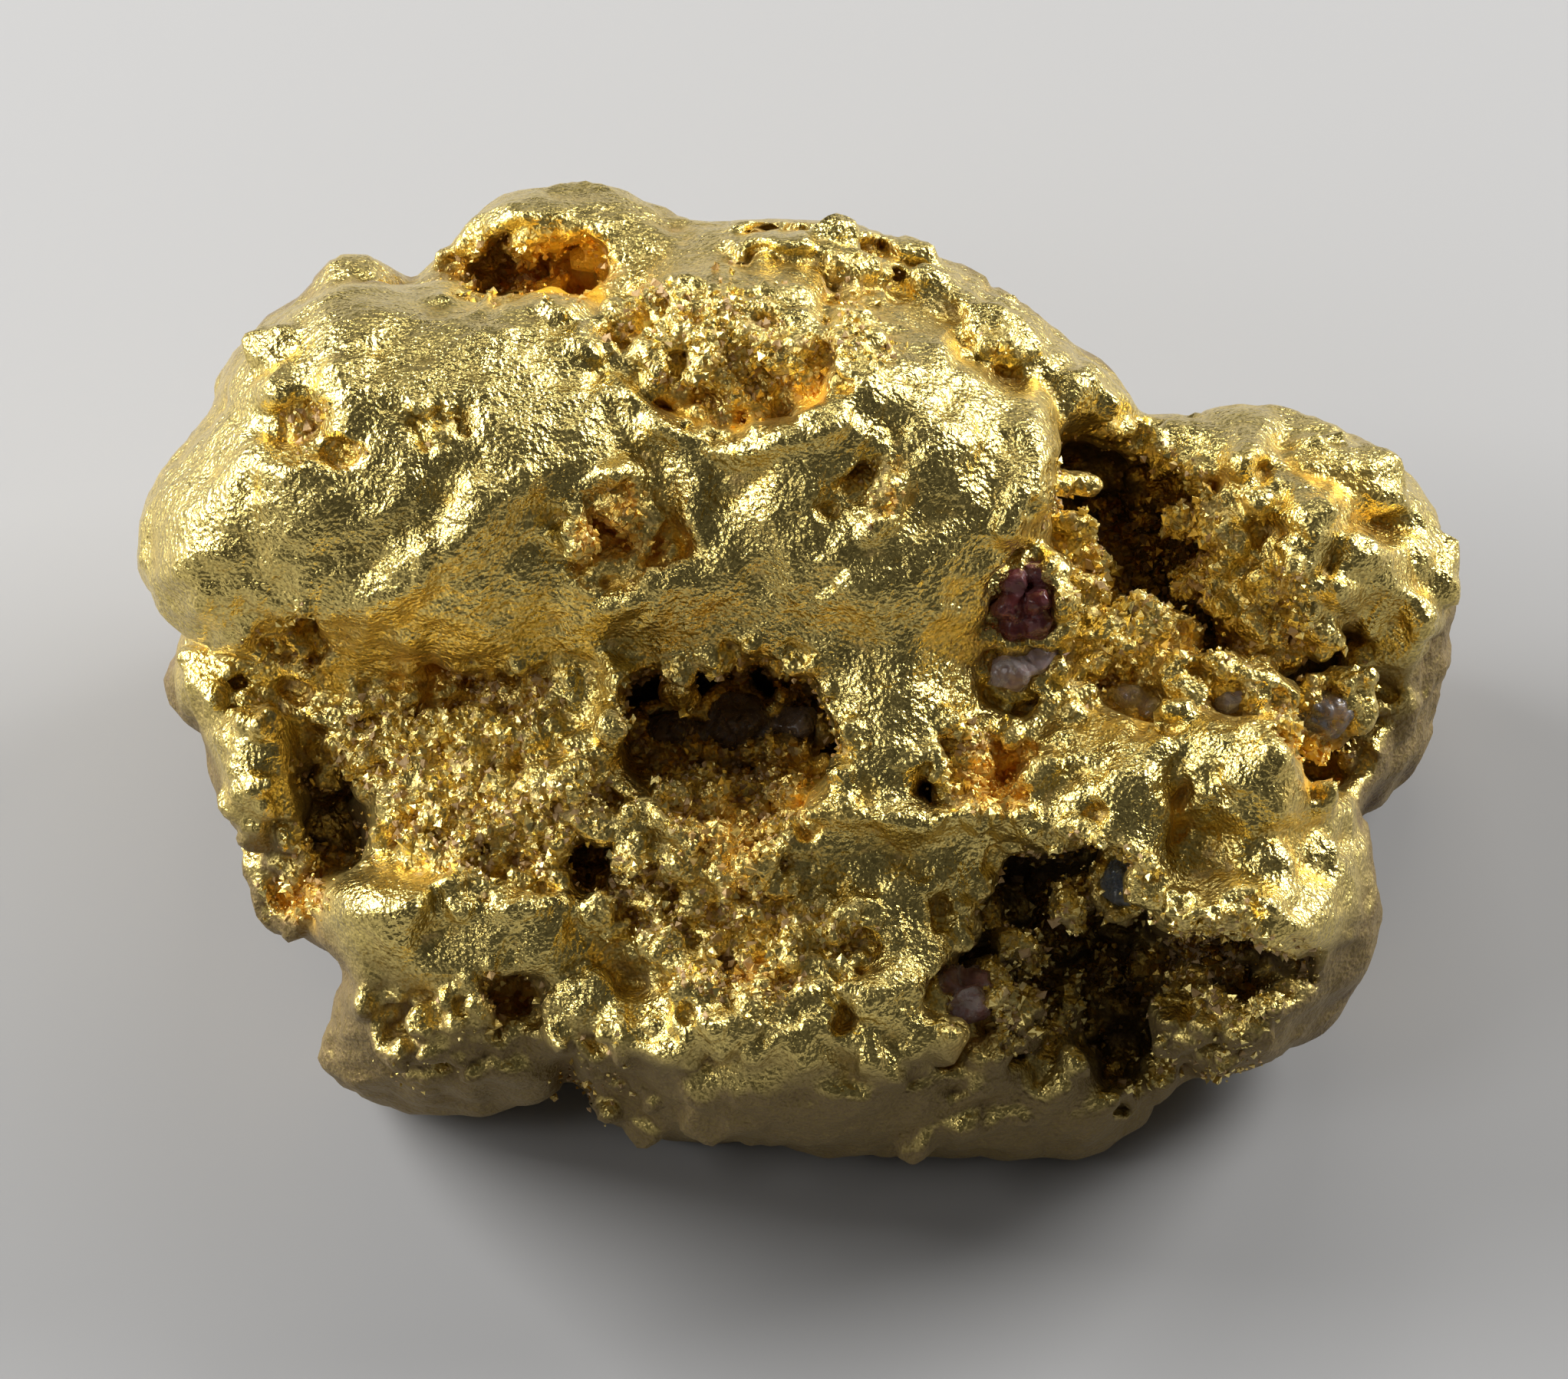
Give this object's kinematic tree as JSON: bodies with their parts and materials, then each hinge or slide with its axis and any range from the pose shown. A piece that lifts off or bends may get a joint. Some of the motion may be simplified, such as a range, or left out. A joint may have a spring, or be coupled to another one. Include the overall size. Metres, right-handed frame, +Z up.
{
  "type": "gold nugget",
  "caption": "Natural gold nugget with smooth lobes, deep hollows, crusty depressions and small caught grains of quartz.",
  "frame": {"origin": "middle of the nugget's bounding box, at the plane of its worn feet", "axes": "+X to the right along the nugget's longest direction, +Y to the back, +Z up; the hollowed face looks forward and up"},
  "size_m": [0.0218, 0.017, 0.0115],
  "materials": {
    "gold": null,
    "stained_quartz": "quartz stained reddish purple",
    "milky_quartz": "milky pinkish quartz",
    "hollow_quartz": "greyish quartz",
    "clear_quartz": "clear to white quartz"
  },
  "bodies": {
    "root": {"gold": "gold", "stained_quartz": "stained_quartz", "milky_quartz": "milky_quartz", "hollow_quartz": "hollow_quartz", "ridge_quartz": "clear_quartz", "lilac_quartz": "clear_quartz", "white_quartz": "clear_quartz", "cleft_quartz": "clear_quartz", "bar_quartz": "milky_quartz"}
  },
  "joints": []
}
